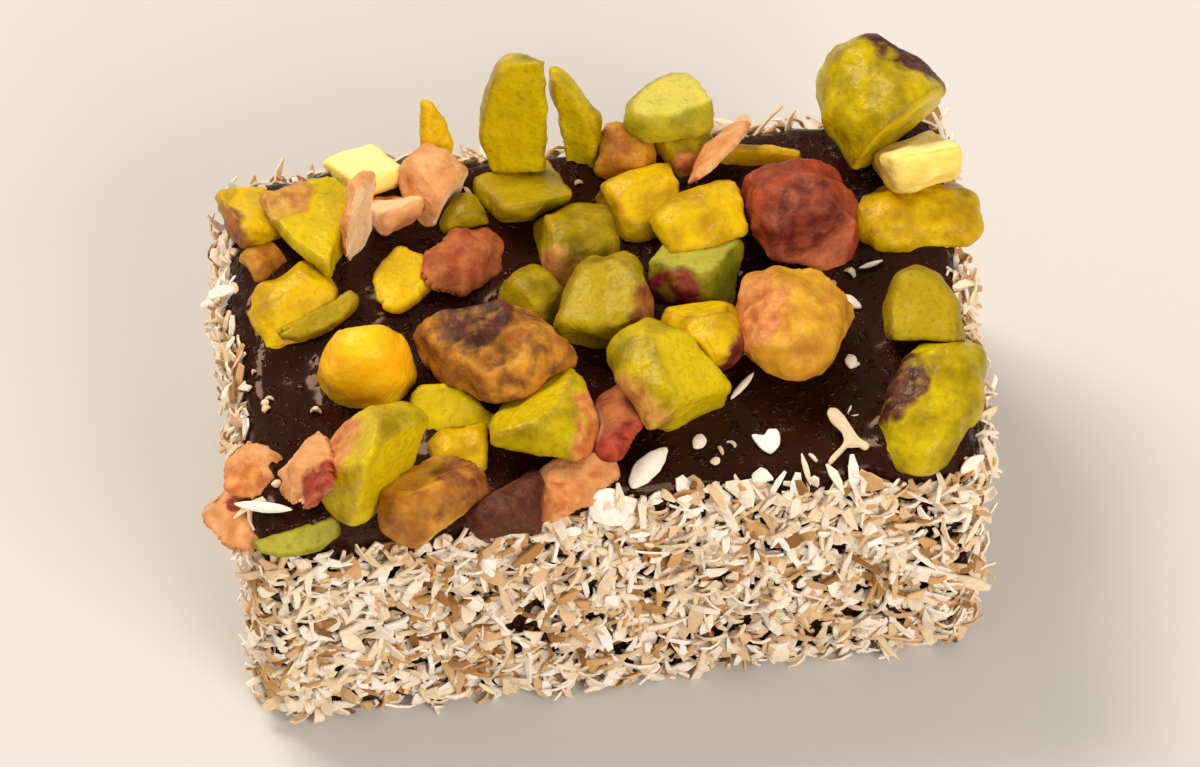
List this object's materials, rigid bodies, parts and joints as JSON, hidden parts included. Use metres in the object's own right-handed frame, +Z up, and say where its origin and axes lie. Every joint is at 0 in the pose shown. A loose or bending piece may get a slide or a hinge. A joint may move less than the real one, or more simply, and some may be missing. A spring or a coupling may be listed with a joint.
{
  "type": "turkish delight cube",
  "caption": "Oblong piece of dark Turkish delight with coconut on its sides and chopped pistachios pressed into its top.",
  "frame": {"origin": "middle of the base, at the centre of the bounding box's lower face", "axes": "+Z up, +X along the long side of the block, +Y away from the side that the picture shows as the front"},
  "size_m": [0.0488, 0.0322, 0.0284],
  "materials": {
    "dark_jelly": "glossy, slightly translucent sugar jelly",
    "desiccated_coconut": "dry, matt, cream-white shreds",
    "pistachio": "satin cut kernel, yellow-green with red-brown skin"
  },
  "bodies": {
    "root": {"jelly_block": "dark_jelly", "pistachio_01": "pistachio", "pistachio_02": "pistachio", "pistachio_03": "pistachio", "pistachio_04": "pistachio", "pistachio_05": "pistachio", "pistachio_06": "pistachio", "pistachio_07": "pistachio", "pistachio_08": "pistachio", "pistachio_09": "pistachio", "pistachio_10": "pistachio", "pistachio_11": "pistachio", "pistachio_12": "pistachio", "pistachio_13": "pistachio", "pistachio_14": "pistachio", "pistachio_15": "pistachio", "pistachio_16": "pistachio", "pistachio_17": "pistachio", "pistachio_18": "pistachio", "pistachio_19": "pistachio", "pistachio_20": "pistachio", "pistachio_21": "pistachio", "pistachio_22": "pistachio", "pistachio_23": "pistachio", "pistachio_24": "pistachio", "pistachio_25": "pistachio", "pistachio_26": "pistachio", "pistachio_27": "pistachio", "pistachio_28": "pistachio", "pistachio_29": "pistachio", "pistachio_30": "pistachio", "pistachio_31": "pistachio", "pistachio_32": "pistachio", "pistachio_33": "pistachio", "pistachio_34": "pistachio", "pistachio_35": "pistachio", "pistachio_36": "pistachio", "pistachio_37": "pistachio", "pistachio_38": "pistachio", "pistachio_39": "pistachio", "pistachio_40": "pistachio", "pistachio_41": "pistachio", "pistachio_42": "pistachio", "pistachio_43": "pistachio", "pistachio_44": "pistachio", "pistachio_45": "pistachio", "pistachio_46": "pistachio", "pistachio_47": "pistachio", "pistachio_48": "pistachio", "pistachio_49": "pistachio", "pistachio_50": "pistachio", "pistachio_51": "pistachio"}
  },
  "joints": []
}
